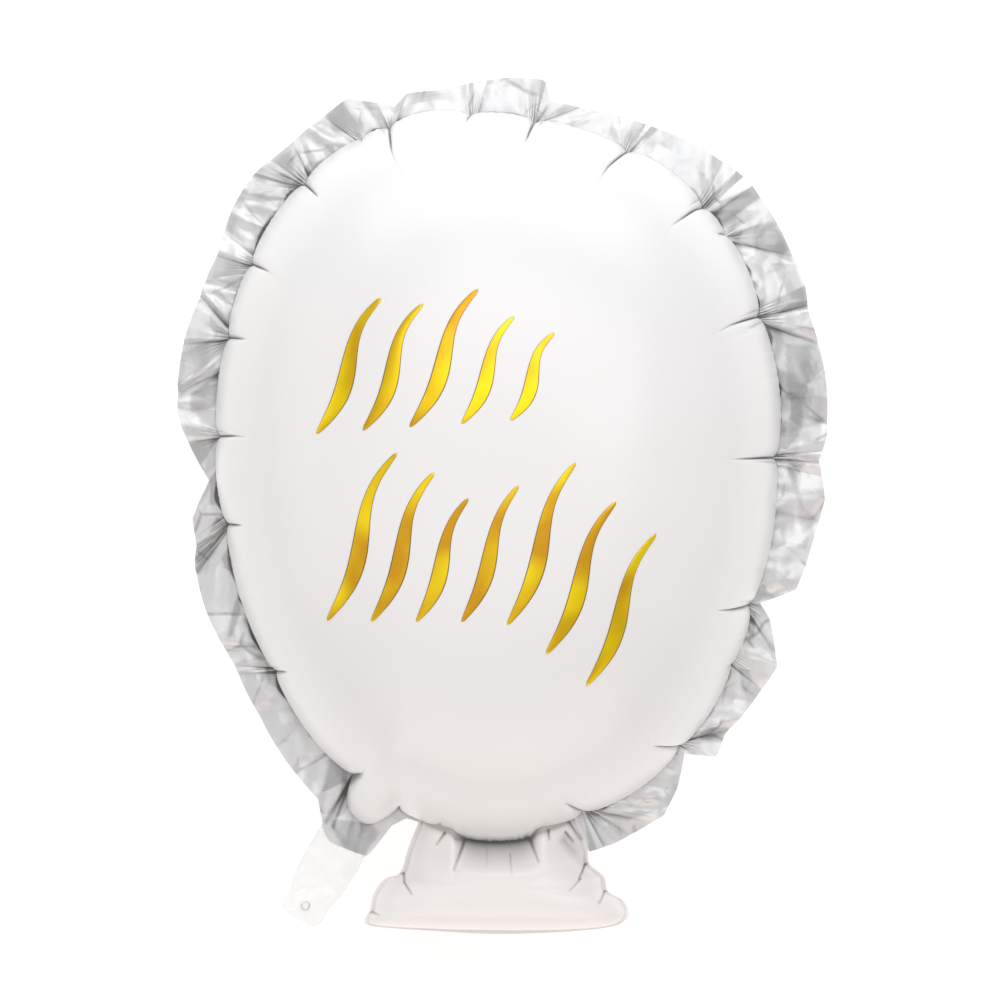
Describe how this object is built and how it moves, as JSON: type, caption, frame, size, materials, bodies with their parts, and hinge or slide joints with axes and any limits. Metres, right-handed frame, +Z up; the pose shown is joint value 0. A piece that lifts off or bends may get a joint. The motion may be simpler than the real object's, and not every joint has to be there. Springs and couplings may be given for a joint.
{
  "type": "foil balloon",
  "caption": "Oval inflated foil balloon with a pleated skirt of film outside its seal, a flared foot and a clear filling tail, lying on its back",
  "frame": {"origin": "on the floor, under the middle of the whole balloon's bounding box", "axes": "+Y from the foot to the top of the balloon, +Z up through the printed front, +X to the right of someone reading the front"},
  "size_m": [0.4204, 0.5529, 0.2266],
  "materials": {
    "satin_white_film": "satin, slightly metallic",
    "clear_film": "clear gloss"
  },
  "bodies": {
    "root": {"front_film": "satin_white_film", "back_film": "satin_white_film", "filling_valve": "clear_film"}
  },
  "joints": []
}
